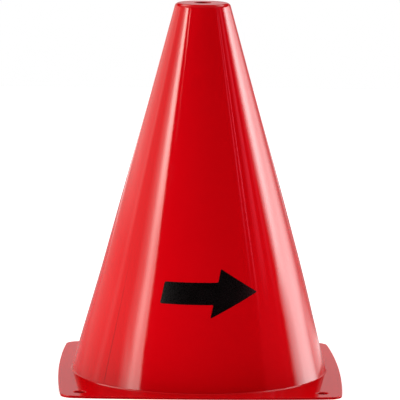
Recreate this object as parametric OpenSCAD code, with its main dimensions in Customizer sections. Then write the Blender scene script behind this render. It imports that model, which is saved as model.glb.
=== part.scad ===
// Sports marker cone: one moulded shell on a square plate, with a printed arrow.
// Millimetres. Z is up, the floor is Z = 0, the print faces -Y.

/* [Cone] */
// Height from the floor to the top face
cone_height = 230; // [150:1:320]
// Outer diameter of the wall at the plate's upper face
foot_d = 158.5; // [130:0.5:164]
// Outer diameter that the straight wall would have at the top face
top_d = 33.5; // [24:0.5:60]
// Thickness of the wall, square to its surface
wall = 1.5; // [1:0.1:3]
// Thickness of the closed top
top_thickness = 1.5; // [1:0.1:4]
// Radius of the rounded shoulder round the top
shoulder_radius = 2.8; // [0.5:0.1:4]
// Radius in the corner under the top, inside
inner_corner_radius = 1; // [0.3:0.1:2]

/* [Foot] */
// Radius of the fillet where the wall stands on the plate
foot_fillet = 0.8; // [0.5:0.1:4]
// Radius of the edge between the inside of the wall and the underside
mouth_radius = 1; // [0.3:0.1:1.5]

/* [Top hole] */
// Diameter of the air hole in the top
top_hole_d = 10.5; // [3:0.5:16]

/* [Base plate] */
// How far the plate reaches past the wall's foot, at the middle of a side
plate_margin = 8.25; // [5:0.25:25]
// Thickness of the plate
plate_thickness = 1.5; // [1:0.1:3]
// How far the middle of a side bows out beyond its ends
side_bow = 3.5; // [1:0.1:6]
// Radius of the plate's rounded corners
corner_radius = 8.5; // [3:0.5:20]

/* [Peg holes] */
// Diameter of the four holes in the corners
peg_hole_d = 6.6; // [3:0.1:8]
// How far a hole's centre lies in from the middles of the two sides near it
peg_inset = 14.5; // [13:0.5:16]
// Width of the sloping lip round the top of each hole
peg_lip_width = 0.8; // [0.3:0.1:2]
// Depth of that lip
peg_lip_depth = 0.4; // [0.2:0.1:0.8]

/* [Printed arrow] */
// Length of the arrow, along the wall
arrow_length = 57; // [30:1:70]
// Height of the arrow's head
arrow_height = 29; // [16:1:40]
// Length of the head
head_length = 25; // [12:1:28]
// Height of the shaft
shaft_height = 13; // [6:1:15]
// How far the top of the print leans ahead of its foot
arrow_lean = 6; // [0:1:12]
// Height of the print's centre above the floor
arrow_rise = 60; // [40:1:110]
// How far the print's centre lies to the right of the middle
arrow_shift = 4; // [-8:1:8]
// Thickness of the ink film
film = 0.1; // [0.05:0.01:0.3]

/* [Hidden] */

// How far a cut runs past the face that it opens
overrun = 2;
// Facets of the true rounds, and of the plate's long, gently bowed sides
round_fn = 180;
side_fn = 1440;
// Steps of a rounded edge
arc_steps = 8;

// The wall's slope: what its radius loses per millimetre of height
slope = (foot_d - top_d) / 2 / (cone_height - plate_thickness);
wall_tilt = atan(slope);
// A distance square to the wall, as it measures along the floor
across = sqrt(1 + slope * slope);

// Width of the plate across the middles of two opposite sides
plate_width = foot_d + 2 * plate_margin;
// Distance between neighbouring holes, centre to centre
peg_pitch = plate_width - 2 * peg_inset;

function outer_r(z) = foot_d / 2 - slope * (z - plate_thickness);
function inner_r(z) = outer_r(z) - wall * across;

// Points of an arc round (x, y) from angle a to angle b
function arc(x, y, r, a, b) =
    [for (i = [0 : arc_steps]) let (t = a + (b - a) * i / arc_steps) [x + r * cos(t), y + r * sin(t)]];

// The outside of the cone as one solid: foot fillet, straight wall, shoulder
module cone_outside() {
    fillet_z = plate_thickness + foot_fillet;
    fillet_x = outer_r(fillet_z) + foot_fillet * across;
    shoulder_z = cone_height - shoulder_radius;
    shoulder_x = outer_r(shoulder_z) - shoulder_radius * across;
    rotate_extrude($fn = round_fn)
        polygon(concat(
            [[0, 0], [fillet_x, 0]],
            arc(fillet_x, fillet_z, foot_fillet, 270, 180 + wall_tilt),
            arc(shoulder_x, shoulder_z, shoulder_radius, wall_tilt, 90),
            [[0, cone_height]]));
}

// The hollow inside, open at the underside
module cone_inside() {
    ceiling = cone_height - top_thickness;
    corner_z = ceiling - inner_corner_radius;
    corner_x = inner_r(corner_z) - inner_corner_radius * across;
    mouth_x = inner_r(mouth_radius) + mouth_radius * across;
    rotate_extrude($fn = round_fn)
        polygon(concat(
            [[0, -overrun], [mouth_x, -overrun]],
            arc(mouth_x, mouth_radius, mouth_radius, 270, 180 + wall_tilt),
            arc(corner_x, corner_z, inner_corner_radius, wall_tilt, 90),
            [[0, ceiling]]));
}

// The square plate: four gently bowed sides that run into rounded corners
module plate() {
    // A side is an arc whose height over the straight is side_bow
    side_half = plate_width / 2 - side_bow;
    side_radius = (side_half * side_half + side_bow * side_bow) / 2 / side_bow;
    side_centre = side_radius - plate_width / 2;
    // A corner's arc touches both sides from within
    reach = side_radius - corner_radius;
    corner = (sqrt(2 * reach * reach - side_centre * side_centre) - side_centre) / 2;
    touch = side_radius / reach;
    touch_far = (corner + side_centre) * touch - side_centre;
    touch_near = corner * touch;
    linear_extrude(height = plate_thickness) {
        intersection() {
            intersection_for (turn = [0 : 90 : 270])
                rotate(turn)
                    translate([-side_centre, 0])
                        circle(r = side_radius, $fn = side_fn);
            rotate(45)
                square((touch_far + touch_near) * sqrt(2), center = true);
        }
        for (x = [-corner, corner], y = [-corner, corner])
            translate([x, y])
                circle(r = corner_radius, $fn = round_fn);
    }
}

// One hole for a peg, with a sloping lip at its upper edge
module peg_hole() {
    lip_z = plate_thickness - peg_lip_depth;
    // The lip's cone runs on above the plate at the same slope
    lip_rise = peg_lip_depth + overrun;
    lip_reach = peg_lip_width * lip_rise / peg_lip_depth;
    translate([0, 0, -overrun])
        cylinder(d = peg_hole_d, h = plate_thickness + 2 * overrun, $fn = round_fn);
    translate([0, 0, lip_z])
        cylinder(d1 = peg_hole_d, d2 = peg_hole_d + 2 * lip_reach, h = lip_rise, $fn = round_fn);
}

// The moulding: plate, wall and closed top in one piece of soft plastic
module cone_shell() {
    color([0.8, 0.02, 0.03])
        difference() {
            union() {
                plate();
                cone_outside();
            }
            cone_inside();
            translate([0, 0, cone_height - top_thickness - overrun])
                cylinder(d = top_hole_d, h = top_thickness + 2 * overrun, $fn = round_fn);
            for (x = [-peg_pitch / 2, peg_pitch / 2], y = [-peg_pitch / 2, peg_pitch / 2])
                translate([x, y, 0])
                    peg_hole();
        }
}

// The arrow's outline, pointing right, centred on its own middle
module arrow_outline() {
    tip_x = arrow_length / 2;
    neck_x = tip_x - head_length;
    lean = arrow_lean / arrow_height;
    polygon([
        for (p = [
            [-tip_x, -shaft_height / 2],
            [neck_x, -shaft_height / 2],
            [neck_x, -arrow_height / 2],
            [tip_x, 0],
            [neck_x, arrow_height / 2],
            [neck_x, shaft_height / 2],
            [-tip_x, shaft_height / 2]])
        [p[0] + p[1] * lean, p[1]]]);
}

// The print: a film of black ink that lies on the front of the wall
module printed_arrow() {
    low = arrow_rise - arrow_height;
    high = arrow_rise + arrow_height;
    color([0.03, 0.03, 0.035])
        intersection() {
            rotate_extrude($fn = round_fn)
                polygon([
                    [outer_r(low), low],
                    [outer_r(low) + film * across, low],
                    [outer_r(high) + film * across, high],
                    [outer_r(high), high]]);
            translate([arrow_shift, 0, arrow_rise])
                rotate([90, 0, 0])
                    linear_extrude(height = foot_d)
                        arrow_outline();
        }
}

cone_shell();
printed_arrow();
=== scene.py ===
import math

import bmesh
import bpy
from mathutils import Matrix, Vector


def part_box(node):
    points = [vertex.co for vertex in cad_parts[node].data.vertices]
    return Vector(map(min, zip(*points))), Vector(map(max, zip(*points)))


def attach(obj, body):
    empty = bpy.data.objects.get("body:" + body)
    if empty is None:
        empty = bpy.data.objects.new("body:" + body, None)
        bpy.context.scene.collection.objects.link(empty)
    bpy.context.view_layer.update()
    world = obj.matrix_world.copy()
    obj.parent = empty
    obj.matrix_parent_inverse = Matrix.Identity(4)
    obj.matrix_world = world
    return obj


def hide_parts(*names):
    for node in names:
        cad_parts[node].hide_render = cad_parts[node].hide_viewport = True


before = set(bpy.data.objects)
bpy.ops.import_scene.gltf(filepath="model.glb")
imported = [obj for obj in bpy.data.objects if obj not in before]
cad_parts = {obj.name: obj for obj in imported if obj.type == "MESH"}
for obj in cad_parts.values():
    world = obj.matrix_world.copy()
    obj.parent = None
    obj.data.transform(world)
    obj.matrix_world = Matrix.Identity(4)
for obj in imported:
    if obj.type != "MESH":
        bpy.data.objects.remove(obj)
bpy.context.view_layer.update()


# The moulding
# The whole cone is one injection moulding in soft red polyethylene: a thin square plate, a tapered wall
# about 1.5 mm thick and a closed top with an air hole. It leaves the mould glossy, with soft edges and
# faint lines along the way that it was drawn off the core.

mm = 0.001
shell_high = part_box("cone_shell")[1]
cone_height = shell_high[2]
plate_half = shell_high[0]

plate_thickness = 1.5 * mm
foot_r = 79.25 * mm
top_r = 16.75 * mm
wall = 1.5 * mm
top_thickness = 1.5 * mm
shoulder_radius = 2.8 * mm
inner_corner_radius = 1.0 * mm
foot_fillet = 0.8 * mm
mouth_radius = 1.0 * mm
air_hole_r = 5.25 * mm
air_hole_edge = 0.35 * mm

side_bow = 3.5 * mm
corner_radius = 8.5 * mm
rim_rounding = 0.5 * mm
support_gap = 0.35 * mm

peg_hole_r = 3.3 * mm
peg_place = plate_half - 14.5 * mm
peg_lip_width = 0.8 * mm
peg_lip_depth = 0.4 * mm

# The soft wall stands a little to the right, most at the height full_lean, and swells below belly_top
lean = 1.0 * mm
lean_start = 8 * mm
full_lean = 70 * mm
swelling = 0.35 * mm
belly_top = 185 * mm

turns = 384
wall_rings = 28
arc_steps = 8
# How strongly the plate's points crowd into its corners
corner_crowding = 0.2
# Points closer than this are one
merge_distance = 0.001 * mm
# Edges turned more sharply than this stay sharp
crease = math.radians(40)

cutter_turns = 48
# How far the cutter runs past the plate, above and below
cutter_overrun = 2 * mm

# A darker red hairline low on the front's left wall: where it lies, how wide it is, where it fades, and its
# colour
dark_line_bearing = math.radians(-48)
dark_line_width = 0.85 * mm
dark_line_fade = (100 * mm, 20 * mm)
dark_line_foot = (1.5 * mm, 6 * mm)
dark_line_red = (0.46, 0.0003, 0.003)
deeper_red = (0.675, 0.0003, 0.005)
paler_red = (0.705, 0.0006, 0.006)
# Roughness, from the glossiest to the dullest of the draw lines
plastic_gloss = (0.045, 0.085)
plastic_ior = 1.5

waviness = 0.06 * mm
draw_line_depth = 0.002 * mm
sink_depth = 0.4 * mm

slope = (foot_r - top_r) / (cone_height - plate_thickness)
wall_tilt = math.atan(slope)
across = math.hypot(1, slope)


def outer_r(z):
    """The wall's outer radius at height z."""
    return foot_r - slope * (z - plate_thickness)


def inner_r(z):
    """The wall's inner radius at height z."""
    return outer_r(z) - wall * across


def stance(z):
    """How far the soft wall stands to the right of its true place, at height z."""
    rise = min(max((z - lean_start) / (full_lean - lean_start), 0), 1)
    fall = max((z - full_lean) / (cone_height - full_lean), 0)
    return lean * (rise ** 2 * (3 - 2 * rise) - fall ** 1.5)


def belly(z):
    """How far the soft wall swells outwards at height z."""
    return swelling * math.sin(math.pi * min(z / belly_top, 1))


def settle(vert):
    """Moves a point of the true cone to where the soft wall stands."""
    radius = math.hypot(vert.co.x, vert.co.y)
    wider = 1 + belly(vert.co.z) / radius
    vert.co.x = vert.co.x * wider + stance(vert.co.z)
    vert.co.y *= wider


def arc(x, z, radius, start, end):
    """Points of a rounded edge round (x, z), from one angle to another."""
    angles = [start + (end - start) * step / arc_steps for step in range(arc_steps + 1)]
    return [(x + radius * math.cos(angle), z + radius * math.sin(angle)) for angle in angles]


def straight(start, end, steps):
    """Points between start and end, without either."""
    return [
        (start[0] + (end[0] - start[0]) * step / steps, start[1] + (end[1] - start[1]) * step / steps)
        for step in range(1, steps)
    ]


def wall_section():
    """The moulding cut through its axis: from the plate's top, over the wall, and down inside."""
    quarter = math.pi / 2
    fillet_z = plate_thickness + foot_fillet
    fillet_x = outer_r(fillet_z) + foot_fillet * across
    fillet = arc(fillet_x, fillet_z, foot_fillet, 3 * quarter, math.pi + wall_tilt)
    shoulder_z = cone_height - shoulder_radius
    shoulder_x = outer_r(shoulder_z) - shoulder_radius * across
    shoulder = arc(shoulder_x, shoulder_z, shoulder_radius, wall_tilt, quarter)
    hole_x = air_hole_r + air_hole_edge
    ceiling = cone_height - top_thickness
    hole_top = arc(hole_x, cone_height - air_hole_edge, air_hole_edge, quarter, 2 * quarter)
    hole_low = arc(hole_x, ceiling + air_hole_edge, air_hole_edge, 2 * quarter, 3 * quarter)
    corner_z = ceiling - inner_corner_radius
    corner_x = inner_r(corner_z) - inner_corner_radius * across
    corner = arc(corner_x, corner_z, inner_corner_radius, quarter, wall_tilt)
    mouth_x = inner_r(mouth_radius) + mouth_radius * across
    mouth = arc(mouth_x, mouth_radius, mouth_radius, math.pi + wall_tilt, 3 * quarter)
    outside = fillet + straight(fillet[-1], shoulder[0], wall_rings) + shoulder + hole_top
    inside = hole_low + corner + straight(corner[-1], mouth[0], wall_rings) + mouth
    return outside + inside


def plate_outline(angle):
    """The plate's edge at an angle round the axis: a bowed side, or the rounded corner between two."""
    side_half = plate_half - side_bow
    side_radius = (side_half ** 2 + side_bow ** 2) / (2 * side_bow)
    side_centre = side_radius - plate_half
    reach = side_radius - corner_radius
    corner = (math.sqrt(2 * reach ** 2 - side_centre ** 2) - side_centre) / 2
    quarter_turns = round(angle / (math.pi / 2))
    local = angle - quarter_turns * math.pi / 2
    turned = abs(local)
    # Where a ray from the axis meets the side's arc
    along = -side_centre * math.cos(turned)
    distance = along + math.sqrt(along ** 2 + side_radius ** 2 - side_centre ** 2)
    touch_y = corner * side_radius / reach
    if distance * math.sin(turned) > touch_y:
        # Past the side's end: where the ray meets the corner's arc
        along = corner * (math.cos(turned) + math.sin(turned))
        distance = along + math.sqrt(along ** 2 + corner_radius ** 2 - 2 * corner ** 2)
    return Vector((distance * math.cos(angle), distance * math.sin(angle), 0))


def points_in(geometry):
    """The points among an operator's results."""
    return [item for item in geometry if isinstance(item, bmesh.types.BMVert)]


def edges_in(geometry):
    """The edges among an operator's results."""
    return [item for item in geometry if isinstance(item, bmesh.types.BMEdge)]


def spread_plate(bm, edges, z):
    """Draws a ring of the plate out to the plate's edge, crowding its points into the corners."""
    drawn = bmesh.ops.extrude_edge_only(bm, edges=edges)["geom"]
    for vert in points_in(drawn):
        angle = math.atan2(vert.co.y, vert.co.x)
        vert.co = plate_outline(angle + corner_crowding * math.sin(4 * angle))
        vert.co.z = z
    return edges_in(drawn)


def ring_edges(bm, z):
    """The open edges of the mesh that lie at height z."""
    near = support_gap / 10
    open_edges = [edge for edge in bm.edges if edge.is_boundary]
    return [edge for edge in open_edges if all(abs(vert.co.z - z) < near for vert in edge.verts)]


def support_ring(bm, edges):
    """A ring just outside an open ring, so that the plate stays flat up to the fillet."""
    drawn = bmesh.ops.extrude_edge_only(bm, edges=edges)["geom"]
    for vert in points_in(drawn):
        radius = math.hypot(vert.co.x, vert.co.y)
        vert.co.x *= (radius + support_gap) / radius
        vert.co.y *= (radius + support_gap) / radius
    return edges_in(drawn)


def new_piece(name, bm, material):
    """Makes an object of a finished bmesh."""
    mesh = bpy.data.meshes.new(name)
    bm.to_mesh(mesh)
    bm.free()
    mesh.materials.append(material)
    piece = bpy.data.objects.new(name, mesh)
    bpy.context.scene.collection.objects.link(piece)
    return piece


def revolve(bm, section, steps):
    """Spins a section, given as points (radius, height), once round the axis."""
    verts = [bm.verts.new((x, 0, z)) for x, z in section]
    edges = [bm.edges.new(pair) for pair in zip(verts, verts[1:])]
    bmesh.ops.spin(bm, geom=verts + edges, cent=(0, 0, 0), axis=(0, 0, 1), angle=math.tau,
                   steps=steps, use_merge=True)
    bmesh.ops.remove_doubles(bm, verts=bm.verts[:], dist=merge_distance)


def round_edges(bm, edges, offset, segments):
    """Rounds some edges."""
    bmesh.ops.bevel(bm, geom=edges, offset=offset, affect="EDGES", segments=segments,
                    profile=0.5, material=-1)


def shell_mesh():
    """Wall, top and plate as one closed skin."""
    bm = bmesh.new()
    revolve(bm, wall_section(), turns)
    rims = []
    for z in (plate_thickness, 0):
        edges = support_ring(bm, ring_edges(bm, z))
        rims += spread_plate(bm, edges, z)
    bmesh.ops.bridge_loops(bm, edges=rims)
    bmesh.ops.recalc_face_normals(bm, faces=bm.faces[:])
    rims = [edge for edge in rims if edge.is_valid]
    upper_rim = [edge for edge in rims if edge.verts[0].co.z > plate_thickness / 2]
    lower_rim = [edge for edge in rims if edge.verts[0].co.z < plate_thickness / 2]
    round_edges(bm, upper_rim, rim_rounding, 4)
    round_edges(bm, lower_rim, rim_rounding / 2, 3)
    for vert in bm.verts:
        if vert.co.z > plate_thickness + foot_fillet:
            settle(vert)
    return bm


def peg_cutter_mesh():
    """Four pegs with flared heads: what is cut away for the corner holes."""
    bm = bmesh.new()
    # The lip is a quarter of an ellipse, from the hole's wall out to the plate's top
    lip = []
    for step in range(arc_steps + 1):
        angle = math.pi / 2 * step / arc_steps
        lip.append((
            peg_hole_r + peg_lip_width * (1 - math.cos(angle)),
            plate_thickness - peg_lip_depth * (1 - math.sin(angle)),
        ))
    foot = -cutter_overrun
    head = plate_thickness + cutter_overrun
    revolve(bm, [(0, foot), (peg_hole_r, foot)] + lip + [(lip[-1][0], head), (0, head)], cutter_turns)
    bmesh.ops.recalc_face_normals(bm, faces=bm.faces[:])
    bmesh.ops.translate(bm, verts=bm.verts[:], vec=(peg_place, peg_place, 0))
    one = bm.verts[:] + bm.edges[:] + bm.faces[:]
    for quarter in (1, 2, 3):
        copy = bmesh.ops.duplicate(bm, geom=one)["geom"]
        bmesh.ops.rotate(bm, verts=points_in(copy), cent=(0, 0, 0),
                         matrix=Matrix.Rotation(quarter * math.pi / 2, 3, "Z"))
    return bm


def material_with_nodes(name):
    """A new material, its node tree and its Principled shader."""
    material = bpy.data.materials.new(name)
    material.use_nodes = True
    return material, material.node_tree, material.node_tree.nodes["Principled BSDF"]


def noise(tree, scale, detail, stretch=(1, 1, 1)):
    """Noise on the piece's own coordinates, with `scale` features to the metre."""
    place = tree.nodes.new("ShaderNodeTexCoord")
    mapping = tree.nodes.new("ShaderNodeMapping")
    mapping.inputs["Scale"].default_value = stretch
    texture = tree.nodes.new("ShaderNodeTexNoise")
    texture.inputs["Scale"].default_value = scale
    texture.inputs["Detail"].default_value = detail
    tree.links.new(place.outputs["Object"], mapping.inputs["Vector"])
    tree.links.new(mapping.outputs["Vector"], texture.inputs["Vector"])
    return texture.outputs["Fac"]


def spread(tree, value, low, high):
    """Maps the useful middle of a noise onto low to high."""
    node = tree.nodes.new("ShaderNodeMapRange")
    node.inputs["From Min"].default_value = 0.3
    node.inputs["From Max"].default_value = 0.7
    node.inputs["To Min"].default_value = low
    node.inputs["To Max"].default_value = high
    tree.links.new(value, node.inputs["Value"])
    return node.outputs["Result"]


def blend_colour(tree, factor, first, second):
    """Mixes two colours by a factor."""
    node = tree.nodes.new("ShaderNodeMix")
    node.data_type = "RGBA"
    node.inputs["A"].default_value = (*first, 1)
    node.inputs["B"].default_value = (*second, 1)
    tree.links.new(factor, node.inputs["Factor"])
    return node.outputs["Result"]


def bump(tree, height, distance, under=None):
    """A bump `distance` metres deep, laid over another one."""
    node = tree.nodes.new("ShaderNodeBump")
    node.inputs["Distance"].default_value = distance
    tree.links.new(height, node.inputs["Height"])
    if under is not None:
        tree.links.new(under, node.inputs["Normal"])
    return node.outputs["Normal"]


def sums(tree, operation, *values):
    """One sum in a material, or in the tent of light."""
    node = tree.nodes.new("ShaderNodeMath")
    node.operation = operation
    for socket, value in zip(node.inputs, values):
        if isinstance(value, (int, float)):
            socket.default_value = value
        else:
            tree.links.new(value, socket)
    return node.outputs["Value"]


def between(tree, value, empty, full, way="SMOOTHSTEP"):
    """Rises, smoothly or not, from 0 where the value is `empty` to 1 where it is `full`."""
    node = tree.nodes.new("ShaderNodeMapRange")
    node.interpolation_type = way
    node.inputs["From Min"].default_value = min(empty, full)
    node.inputs["From Max"].default_value = max(empty, full)
    node.inputs["To Min"].default_value = 0 if empty < full else 1
    node.inputs["To Max"].default_value = 1 if empty < full else 0
    tree.links.new(value, node.inputs["Value"])
    return node.outputs["Result"]


def red_plastic():
    """Glossy moulded polyethylene, with a darker red hairline down one side and sink marks on the top."""
    material, tree, shader = material_with_nodes("red_plastic")
    split = tree.nodes.new("ShaderNodeSeparateXYZ")
    tree.links.new(tree.nodes.new("ShaderNodeTexCoord").outputs["Object"], split.inputs["Vector"])
    x, y, z = [split.outputs[axis] for axis in "XYZ"]

    # A darker red hairline along the wall, low on the front's left, fading out upwards and at the very foot
    bearing = sums(tree, "ARCTAN2", x, sums(tree, "MULTIPLY", y, -1))
    off_line = sums(tree, "ABSOLUTE", sums(tree, "SUBTRACT", bearing, dark_line_bearing))
    beside = sums(tree, "MULTIPLY", off_line, foot_r)
    on_line = between(tree, beside, dark_line_width, 0)
    on_line = sums(tree, "MULTIPLY", on_line, between(tree, z, *dark_line_fade))
    on_line = sums(tree, "MULTIPLY", on_line, between(tree, z, *dark_line_foot))

    cloud = spread(tree, noise(tree, 14, 3), 0, 1)
    red = blend_colour(tree, cloud, deeper_red, paler_red)
    darken = tree.nodes.new("ShaderNodeMix")
    darken.data_type = "RGBA"
    darken.inputs["B"].default_value = (*dark_line_red, 1)
    tree.links.new(on_line, darken.inputs["Factor"])
    tree.links.new(red, darken.inputs["A"])
    tree.links.new(darken.outputs["Result"], shader.inputs["Base Color"])

    draw_lines = noise(tree, 300, 4, stretch=(1, 1, 0.03))
    tree.links.new(spread(tree, draw_lines, *plastic_gloss), shader.inputs["Roughness"])
    swell = bump(tree, noise(tree, 22, 1, stretch=(1, 1, 0.4)), waviness)
    lines = bump(tree, draw_lines, draw_line_depth, under=swell)
    # The thin top sank a little while it cooled
    on_top = between(tree, z, cone_height - 0.6 * mm, cone_height - 0.1 * mm)
    sink = sums(tree, "MULTIPLY", noise(tree, 95, 1), on_top)
    tree.links.new(bump(tree, sink, sink_depth, under=lines), shader.inputs["Normal"])
    shader.inputs["IOR"].default_value = plastic_ior
    return material


shell = new_piece("moulded_cone", shell_mesh(), red_plastic())
cutter = new_piece("peg_cutter", peg_cutter_mesh(), shell.data.materials[0])
cut = shell.modifiers.new("peg_holes", "BOOLEAN")
cut.object = cutter
cut.operation = "DIFFERENCE"
cut.solver = "EXACT"
shading = shell.modifiers.new("flat_faces_stay_flat", "WEIGHTED_NORMAL")
shading.keep_sharp = True
finished = bpy.data.meshes.new_from_object(shell.evaluated_get(bpy.context.evaluated_depsgraph_get()))
shell.modifiers.remove(cut)
shell.data = finished
bpy.data.objects.remove(cutter)
shell.data.shade_smooth()
shell.data.set_sharp_from_angle(angle=crease)
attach(shell, "root")
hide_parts("cone_shell")


# The printed arrow
# The front carries a direction arrow, pad printed in black ink on the finished wall. The ink is a thin,
# satin film with slightly soft corners, and it leans a little, so that it looks quick.

print_low, print_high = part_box("printed_arrow")
film = 0.08 * mm
arrow_length = 57 * mm
arrow_height = print_high[2] - print_low[2]
head_length = 25 * mm
shaft_height = 13 * mm
arrow_lean = 6 * mm
arrow_rise = (print_low[2] + print_high[2]) / 2
arrow_shift = 4 * mm
ink_corner = 0.9 * mm
# The film is cut into strips this wide, so that it follows the wall
ink_step = 1.5 * mm
deepest_black = (0.0008, 0.0006, 0.0008)
palest_black = (0.003, 0.0025, 0.003)
ink_grain = 0.002 * mm
ink_gloss = (0.22, 0.34)
ink_ior = 1.5


def arrow_mesh():
    """The arrow cut flat, then laid round the wall as a film."""
    bm = bmesh.new()
    tip = arrow_length / 2
    neck = tip - head_length
    outline = [
        (-tip, -shaft_height / 2), (neck, -shaft_height / 2), (neck, -arrow_height / 2), (tip, 0),
        (neck, arrow_height / 2), (neck, shaft_height / 2), (-tip, shaft_height / 2),
    ]
    slant = arrow_lean / arrow_height
    face = bm.faces.new([bm.verts.new((x + z * slant, 0, z)) for x, z in outline])
    bmesh.ops.bevel(bm, geom=face.verts[:], offset=ink_corner, affect="VERTICES", segments=4,
                    profile=0.5, material=-1)
    bmesh.ops.translate(bm, verts=bm.verts[:], vec=(arrow_shift, 0, arrow_rise))
    # Upright strips, which also take in the slant, and then level ones
    for length, normal in ((arrow_length * 1.2, Vector((1, 0, 0))), (arrow_height, Vector((0, 0, 1)))):
        strips = int(length / ink_step)
        for number in range(-strips // 2, strips // 2 + 1):
            place = Vector((arrow_shift, 0, arrow_rise)) + normal * number * ink_step
            everything = bm.verts[:] + bm.edges[:] + bm.faces[:]
            bmesh.ops.bisect_plane(bm, geom=everything, plane_co=place, plane_no=normal)
    # The back of the ink sits on the wall's surface, its face one film's thickness proud
    for vert in bm.verts:
        vert.co.y = -math.sqrt(outer_r(vert.co.z) ** 2 - vert.co.x ** 2)
    bmesh.ops.recalc_face_normals(bm, faces=bm.faces[:])
    if bm.faces[:][0].normal.y > 0:
        bmesh.ops.reverse_faces(bm, faces=bm.faces[:])
    raised = bmesh.ops.extrude_face_region(bm, geom=bm.faces[:])["geom"]
    for vert in points_in(raised):
        outward = Vector((vert.co.x, vert.co.y, 0)).normalized()
        outward.z = slope
        vert.co += outward.normalized() * film
    for vert in bm.verts:
        settle(vert)
    bmesh.ops.recalc_face_normals(bm, faces=bm.faces[:])
    return bm


def black_ink():
    """Satin printing ink, a little uneven where it was pressed on."""
    material, tree, shader = material_with_nodes("black_ink")
    patch = spread(tree, noise(tree, 120, 3), 0, 1)
    tree.links.new(blend_colour(tree, patch, deepest_black, palest_black), shader.inputs["Base Color"])
    grain = noise(tree, 2500, 2)
    tree.links.new(spread(tree, grain, *ink_gloss), shader.inputs["Roughness"])
    tree.links.new(bump(tree, grain, ink_grain), shader.inputs["Normal"])
    shader.inputs["IOR"].default_value = ink_ior
    return material


arrow = new_piece("arrow_print", arrow_mesh(), black_ink())
arrow.data.shade_smooth()
arrow.data.set_sharp_from_angle(angle=crease)
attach(arrow, "root")
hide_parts("printed_arrow")


# The studio
# The cone stands on pale paper in a tent of light, which its gloss mirrors: a wide panel on the left, a
# bright strip on the right with crimson gleams beside it, soft light from above and from the back, and an
# open, dark side where the camera stands.

floor_reach = 1.5
paper_white = (0.9, 0.9, 0.9)
# The power that rounds a square's corners as the plate's are
squareness = 10
# How far past the plate's edge the paper is shaded
shade_reach = 80 * mm
light_glow = 0.5
camera_glow = 0.86
glow_under_edge = 4 * mm
# The ring round the plate where the table shines brighter, and how much, everywhere and on the left
ring_start = 30 * mm
ring_fade = 60 * mm
ring_end = 160 * mm
ring_glow = 0.2
left_glow = 1.4
# How pale the floor looks in the plastic, and how much of that the part in front lacks, as painted shade
mirrored_paper = 0.6
mirrored_front_shade = 0.5
# Where the foot of the bright strip shows on the floor, in degrees round from the camera's side
strip_foot_left = (110, 120)
strip_foot_right = (148, 134)
strip_foot_fade = 60 * mm

floor_mesh = bmesh.new()
bmesh.ops.create_grid(floor_mesh, x_segments=1, y_segments=1, size=floor_reach)


def ray_mix(tree, kind, chosen, other):
    """A shader that one kind of ray meets, and another for the rest."""
    path = tree.nodes.new("ShaderNodeLightPath")
    mix = tree.nodes.new("ShaderNodeMixShader")
    tree.links.new(path.outputs[kind], mix.inputs["Fac"])
    tree.links.new(other, mix.inputs[1])
    tree.links.new(chosen, mix.inputs[2])
    return mix.outputs["Shader"]


def with_glow(tree, base, strength):
    """A shader with some white glow added to it."""
    glow = tree.nodes.new("ShaderNodeEmission")
    tree.links.new(strength, glow.inputs["Strength"])
    both = tree.nodes.new("ShaderNodeAddShader")
    tree.links.new(base, both.inputs[0])
    tree.links.new(glow.outputs["Emission"], both.inputs[1])
    return both.outputs["Shader"]


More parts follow.
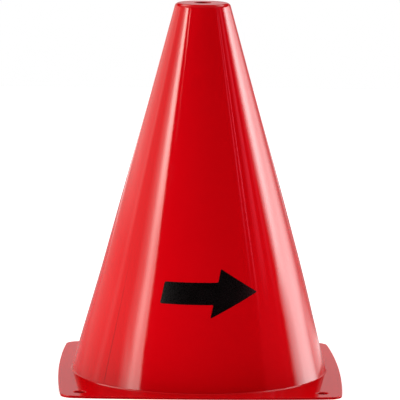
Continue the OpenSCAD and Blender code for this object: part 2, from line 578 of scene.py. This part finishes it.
def floor_paper():
    """Pale paper over a light table; the camera sees it as plain white, but for the plate's shade."""
    material, tree, shader = material_with_nodes("floor_paper")
    shader.inputs["Base Color"].default_value = (*paper_white, 1)
    shader.inputs["Roughness"].default_value = 0.9
    shader.inputs["Specular IOR Level"].default_value = 0.1
    place = tree.nodes.new("ShaderNodeSeparateXYZ")
    tree.links.new(tree.nodes.new("ShaderNodeTexCoord").outputs["Object"], place.inputs["Vector"])
    x, y = place.outputs["X"], place.outputs["Y"]
    # How far a place lies from the axis, measured so that the plate's edge is equally far all round
    powers = [sums(tree, "POWER", sums(tree, "ABSOLUTE", value), squareness) for value in (x, y)]
    far = sums(tree, "POWER", sums(tree, "ADD", *powers), 1 / squareness)

    # What the camera sees: white right up to the plate, but for the shadow that stays under its edge
    bare = between(tree, far, plate_half - glow_under_edge, plate_half, "LINEAR")
    for_camera = with_glow(tree, shader.outputs["BSDF"], sums(tree, "MULTIPLY", bare, camera_glow))

    # What lights the cone: a table that glows less near the plate, and a brighter ring round it
    bare = between(tree, far, plate_half, plate_half + shade_reach, "LINEAR")
    for_light = with_glow(tree, shader.outputs["BSDF"], sums(tree, "MULTIPLY", bare, light_glow))
    ring = sums(tree, "MULTIPLY", between(tree, far, plate_half, plate_half + ring_start),
                between(tree, far, plate_half + ring_end, plate_half + ring_fade))
    on_left = between(tree, x, 0, -plate_half)
    strength = sums(tree, "ADD", sums(tree, "MULTIPLY", on_left, left_glow), ring_glow)
    for_light = with_glow(tree, for_light, sums(tree, "MULTIPLY", ring, strength))

    # What the plastic mirrors: a duller card, painted darker in front as painted shade, and on it the foot
    # of the bright strip on the right
    card = tree.nodes.new("ShaderNodeBsdfDiffuse")
    # The part in front is painted darker, a painted shade that only the plastic's gloss sees
    in_front = between(tree, y, 0, -plate_half)
    pale = sums(tree, "SUBTRACT", mirrored_paper, sums(tree, "MULTIPLY", in_front, mirrored_front_shade))
    tree.links.new(pale, card.inputs["Color"])
    round_axis = sums(tree, "DEGREES", sums(tree, "ARCTAN2", x, sums(tree, "MULTIPLY", y, -1)))
    near_strip = sums(tree, "MULTIPLY", between(tree, round_axis, *strip_foot_left),
                      between(tree, round_axis, *strip_foot_right))
    off_plate = between(tree, far, plate_half, plate_half + strip_foot_fade)
    near_strip = sums(tree, "MULTIPLY", near_strip, off_plate)
    for_gloss = with_glow(tree, card.outputs["BSDF"], near_strip)

    unseen = ray_mix(tree, "Is Glossy Ray", for_gloss, for_light)
    seen = ray_mix(tree, "Is Camera Ray", for_camera, unseen)
    tree.links.new(seen, tree.nodes["Material Output"].inputs["Surface"])
    material.cycles.emission_sampling = "NONE"
    return material


floor = new_piece("floor", floor_mesh, floor_paper())

world = bpy.data.worlds.new("light_tent")
bpy.context.scene.world = world
world.use_nodes = True
tent = world.node_tree
tent.nodes.clear()

# Degrees that the camera stands to the left of the plate's middle line, seen from the axis
camera_turn = 1.15

split = tent.nodes.new("ShaderNodeSeparateXYZ")
tent.links.new(tent.nodes.new("ShaderNodeTexCoord").outputs["Generated"], split.inputs["Vector"])
# Degrees round from the camera's side, to the right, and degrees up from the floor
bearing = sums(tent, "ARCTAN2", split.outputs["X"], sums(tent, "MULTIPLY", split.outputs["Y"], -1))
around = sums(tent, "ADD", sums(tent, "DEGREES", bearing), camera_turn)
up = sums(tent, "DEGREES", sums(tent, "ARCSINE", split.outputs["Z"]))


def times(first, second):
    """The product of two strengths in the tent."""
    return sums(tent, "MULTIPLY", first, second)


def panel(strength, left, right, low, high, left_lean=0, right_lean=0, low_lean=0):
    """A glowing panel. Each edge is (where it starts, where it is full), and some of them can lean."""
    left_place = sums(tent, "ADD", around, times(up, left_lean))
    right_place = sums(tent, "ADD", around, times(up, right_lean))
    low_place = sums(tent, "ADD", up, times(around, low_lean))
    sides = times(between(tent, left_place, *left), between(tent, right_place, *right))
    ends = times(between(tent, low_place, *low), between(tent, up, *high))
    return times(times(sides, ends), strength)


def at_back(strength, sides, edge):
    """A glow at the tent's back, on both sides of its middle, with one level edge."""
    start, full = sides
    both_sides = sums(tent, "ADD", between(tent, around, start, full), between(tent, around, -start, -full))
    return times(both_sides, times(between(tent, up, *edge), strength))


def overhead(strength, edge):
    """A glow from above, all round."""
    return times(between(tent, up, *edge), strength)


# Strengths, and edges in degrees
warm_lights = [
    # The left panel: its bright edge nearest the camera, weaker and wider low down
    panel(4.4, (-59, -48), (-39, -42.5), (8, 12), (26, 21), left_lean=1, right_lean=1),
    panel(3.2, (-59, -48), (-39, -42.5), (16.5, 18.5), (26, 21), left_lean=1, right_lean=1),
    panel(1.6, (-70, -58), (-46, -54), (8, 11), (14.2, 13.1), left_lean=1, right_lean=1),
    # Its fade, and low down a fill that the wall hardly mirrors to the camera
    panel(3.4, (-90, -66), (-60, -66), (11.5, 18), (26, 21)),
    panel(6.8, (-96, -84), (-40, -52), (-6, 0), (8.5, 5)),
    # The plainer areas behind and above it
    panel(0.5, (-113, -103), (-60, -70), (-8, 0), (30, 26)),
    panel(0.5, (-175, -165), (-101, -109), (-8, -4), (21, 13)),
    panel(0.5, (-160, -138), (-101, -109), (30.6, 32.2), (21, 13), low_lean=-0.21),
    panel(0.12, (-165, -120), (-56, -66), (26, 30), (60, 50)),
    panel(0.2, (-80, -70), (-56, -60), (22, 27), (60, 50)),
    # A small lamp, which draws the thin white line near the top
    panel(9, (-53.4, -52.4), (-49.4, -50.4), (21.2, 22.0), (22.32, 22.2)),
    # Fill that the wall doesn't mirror to the camera
    panel(2.4, (-168, -154), (-92, -106), (36, 40), (64, 57)),
]
lights = [
    # The strip on the right: its core, its foot, and its fade to the back
    panel(5.5, (106, 119), (125, 105), (2, 12), (20, 16), left_lean=1),
    panel(1.0, (106, 119), (150, 118), (-6, 2), (8, 4), left_lean=1),
    panel(1.8, (103.5, 108), (110, 102), (-6, 2), (10, 9), left_lean=1),
    panel(3.5, (106, 119), (150, 118), (-6, 2), (20, 16), left_lean=1),
    panel(0.5, (106, 119), (178, 140), (-6, 2), (20, 16), left_lean=1),
    # A low fill in front of it, and a trace of light above it
    panel(2.6, (56, 66), (106, 96), (-6, 0), (6.5, 3.5)),
    panel(0.1, (85, 100), (170, 120), (24, 30), (60, 50)),
    panel(0.1, (50, 60), (100, 90), (28, 36), (60, 50)),
    overhead(0.1, (28, 40)),
    # The tent's back, which the plate mirrors, and the light past the floor's far edge
    at_back(0.42, (165, 172), (22, 14)),
    at_back(1.1, (140, 165), (0, -5)),
    # Fill that the wall doesn't mirror to the camera
    panel(2.3, (102, 114), (174, 160), (36, 40), (64, 57)),
]
# More red plastic stands on the right, and throws narrow crimson gleams
gleams = [
    panel(3.6, (58.5, 60), (61.5, 60), (15, 20), (40, 34)),
    panel(6.5, (64.4, 65.6), (66.8, 65.6), (13, 19), (40, 34)),
    panel(2.4, (71.5, 80), (82.5, 81), (11.5, 17), (40, 34)),
    panel(1.2, (87, 90), (94, 91), (8, 15), (40, 34)),
]
# Its body glows a plainer red, the tent's back does so a little, and some comes down from above
glows = [
    panel(1.2, (60, 68), (104, 94), (6, 9), (17, 15)),
    at_back(0.2, (160, 170), (17, 13)),
    overhead(1.35, (58, 66)),
]
plain_white = (1, 1, 1)
warm_white = (1, 0.98, 0.91)
crimson = (1, 0.13, 0.22)
plain_red = (1, 0.02, 0.03)
# What the open side of the tent still gives
dark_side = 0.012


def tent_light(colour, panels, everywhere):
    """The sum of some panels as light of one colour."""
    total = everywhere
    for one in panels:
        total = sums(tent, "ADD", one, total)
    light = tent.nodes.new("ShaderNodeBackground")
    light.inputs["Color"].default_value = (*colour, 1)
    tent.links.new(total, light.inputs["Strength"])
    return light.outputs["Background"]


unseen = tent_light(plain_white, lights, dark_side)
for colour, panels in ((warm_white, warm_lights), (crimson, gleams), (plain_red, glows)):
    both = tent.nodes.new("ShaderNodeAddShader")
    tent.links.new(unseen, both.inputs[0])
    tent.links.new(tent_light(colour, panels, 0), both.inputs[1])
    unseen = both.outputs["Shader"]
white = tent.nodes.new("ShaderNodeBackground")
white.inputs["Color"].default_value = (*plain_white, 1)
world_output = tent.nodes.new("ShaderNodeOutputWorld")
tent.links.new(ray_mix(tent, "Is Camera Ray", white.outputs["Background"], unseen),
               world_output.inputs["Surface"])

# The camera stands 2 m away and a little higher than the cone, and looks down on it by 9 degrees
camera_place = Vector((-0.41 * mm, -1983.3 * mm, 410.1 * mm))
camera_pitch = 0.1514
camera_roll = 0.0105
focal_pixels = 3241.5
frame_pixels = 400

camera_data = bpy.data.cameras.new("camera")
camera_data.sensor_width = 36
camera_data.lens = focal_pixels / frame_pixels * camera_data.sensor_width
camera_data.clip_end = 20
camera = bpy.data.objects.new("camera", camera_data)
camera.matrix_world = (
    Matrix.Rotation(-math.radians(camera_turn), 4, "Z")
    @ Matrix.Translation(camera_place)
    @ Matrix.Rotation(math.pi / 2 - camera_pitch, 4, "X")
    @ Matrix.Rotation(camera_roll, 4, "Z")
)
bpy.context.scene.collection.objects.link(camera)
bpy.context.scene.camera = camera
bpy.context.scene.view_settings.view_transform = "Standard"
